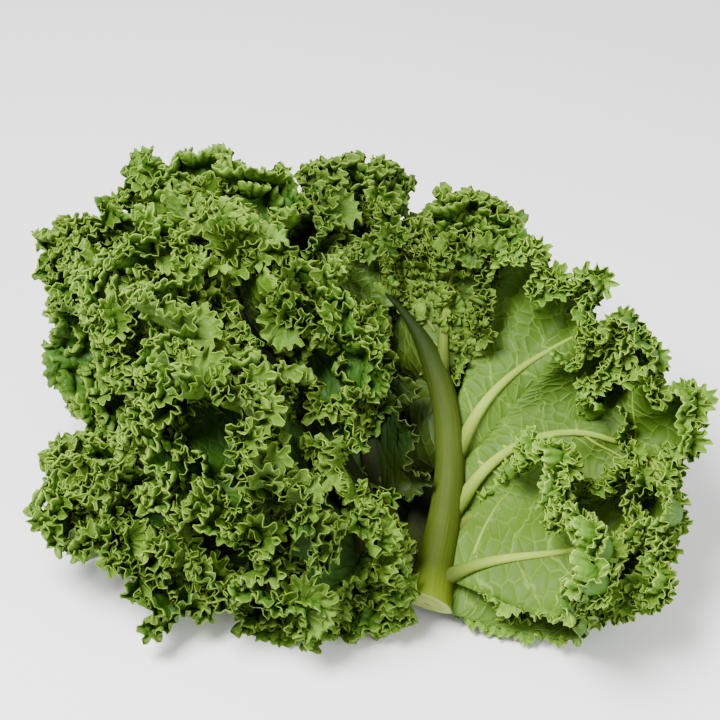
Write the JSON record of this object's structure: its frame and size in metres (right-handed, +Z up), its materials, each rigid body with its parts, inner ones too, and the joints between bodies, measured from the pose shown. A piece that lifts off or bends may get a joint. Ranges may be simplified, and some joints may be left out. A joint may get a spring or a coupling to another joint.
{
  "type": "kale bunch",
  "caption": "Bunch of curly kale lying down, stalks together at the front, ruffled leaves fanned out to the left, back and right.",
  "frame": {"origin": "under the middle of the bunch, on the surface it lies on", "axes": "+Z up, -Y towards the cut stalk ends, +X to the right seen from there"},
  "size_m": [0.2777, 0.2602, 0.1396],
  "materials": {
    "leaf": "satin",
    "leaf_back": "satin"
  },
  "bodies": {
    "root": {"leaf_bottom": "leaf", "leaf_right_front": "leaf_back", "leaf_left_front": "leaf", "leaf_left_low": "leaf", "leaf_left_middle": "leaf", "leaf_left_back": "leaf", "leaf_centre_back": "leaf", "leaf_right_back": "leaf", "leaf_right_low": "leaf"}
  },
  "joints": []
}
